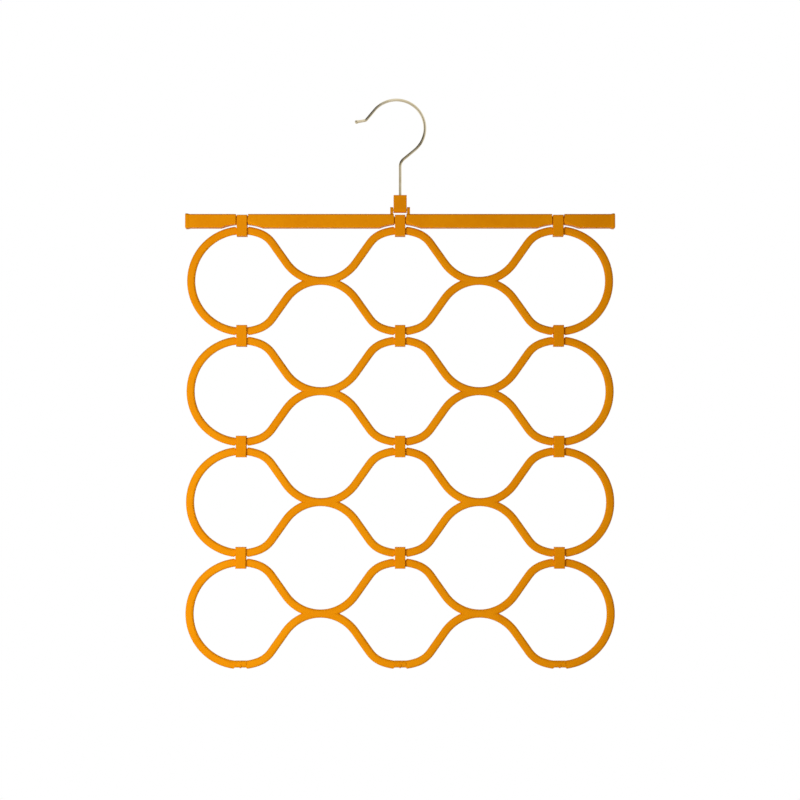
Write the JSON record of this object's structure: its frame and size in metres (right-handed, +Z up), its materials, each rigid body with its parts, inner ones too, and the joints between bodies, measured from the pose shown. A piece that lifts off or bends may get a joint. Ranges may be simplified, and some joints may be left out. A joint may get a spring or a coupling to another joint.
{
  "type": "scarf hanger",
  "caption": "Folding scarf hanger: a swivelling wire hook on a slim moulded bar, with rows of lobed rings hung below on snap clips, for scarves, ties and belts.",
  "frame": {"origin": "rail seat: the inside top of the hook, on the axis that the hook turns about", "axes": "+X along the bar to the viewer's right, +Z up, the front faces -Y"},
  "size_m": [0.345, 0.01, 0.4574],
  "materials": {
    "brass_wire": "polished pale brass plate on steel wire",
    "pin_steel": "plain drawn steel",
    "saffron_plastic": "satin moulded polypropylene"
  },
  "bodies": {
    "hook": {"hook": "brass_wire"},
    "hook_block": {"hook_block": "saffron_plastic"},
    "bar": {"bar": "saffron_plastic", "block_pin": "pin_steel"},
    "clip_row_1": {"clip_1_left": "saffron_plastic", "clip_1_middle": "saffron_plastic", "clip_1_right": "saffron_plastic"},
    "ring_row_1": {"ring_frame_1": "saffron_plastic"},
    "clip_row_2": {"clip_2_left": "saffron_plastic", "clip_2_middle": "saffron_plastic", "clip_2_right": "saffron_plastic"},
    "ring_row_2": {"ring_frame_2": "saffron_plastic"},
    "clip_row_3": {"clip_3_left": "saffron_plastic", "clip_3_middle": "saffron_plastic", "clip_3_right": "saffron_plastic"},
    "ring_row_3": {"ring_frame_3": "saffron_plastic"},
    "clip_row_4": {"clip_4_left": "saffron_plastic", "clip_4_middle": "saffron_plastic", "clip_4_right": "saffron_plastic"},
    "ring_row_4": {"ring_frame_4": "saffron_plastic"}
  },
  "joints": [
    {"name": "hook_swivel", "type": "hinge", "parent": "hook", "child": "hook_block", "pos_m": [0, 0, -0.08555], "axis": [0, 0, 1], "continuous": true},
    {"name": "bar_tilt", "type": "hinge", "parent": "hook_block", "child": "bar", "pos_m": [0, 0, -0.0879], "axis": [1, 0, 0], "range_deg": [-90, 90]},
    {"name": "clip_row_1_swing", "type": "hinge", "parent": "bar", "child": "clip_row_1", "pos_m": [0, 0, -0.09663], "axis": [-1, 0, 0], "range_deg": [-90, 90]},
    {"name": "ring_row_1_swing", "type": "hinge", "parent": "clip_row_1", "child": "ring_row_1", "pos_m": [0, 0, -0.10537], "axis": [-1, 0, 0], "range_deg": [-90, 90]},
    {"name": "clip_row_2_swing", "type": "hinge", "parent": "ring_row_1", "child": "clip_row_2", "pos_m": [0, 0, -0.18532], "axis": [1, 0, 0], "range_deg": [-90, 90]},
    {"name": "ring_row_2_swing", "type": "hinge", "parent": "clip_row_2", "child": "ring_row_2", "pos_m": [0, 0, -0.19407], "axis": [1, 0, 0], "range_deg": [-90, 90]},
    {"name": "clip_row_3_swing", "type": "hinge", "parent": "ring_row_2", "child": "clip_row_3", "pos_m": [0, 0, -0.27403], "axis": [-1, 0, 0], "range_deg": [-90, 90]},
    {"name": "ring_row_3_swing", "type": "hinge", "parent": "clip_row_3", "child": "ring_row_3", "pos_m": [0, 0, -0.28277], "axis": [-1, 0, 0], "range_deg": [-90, 90]},
    {"name": "clip_row_4_swing", "type": "hinge", "parent": "ring_row_3", "child": "clip_row_4", "pos_m": [0, 0, -0.36273], "axis": [1, 0, 0], "range_deg": [-90, 90]},
    {"name": "ring_row_4_swing", "type": "hinge", "parent": "clip_row_4", "child": "ring_row_4", "pos_m": [0, 0, -0.37147], "axis": [1, 0, 0], "range_deg": [-90, 90]}
  ]
}
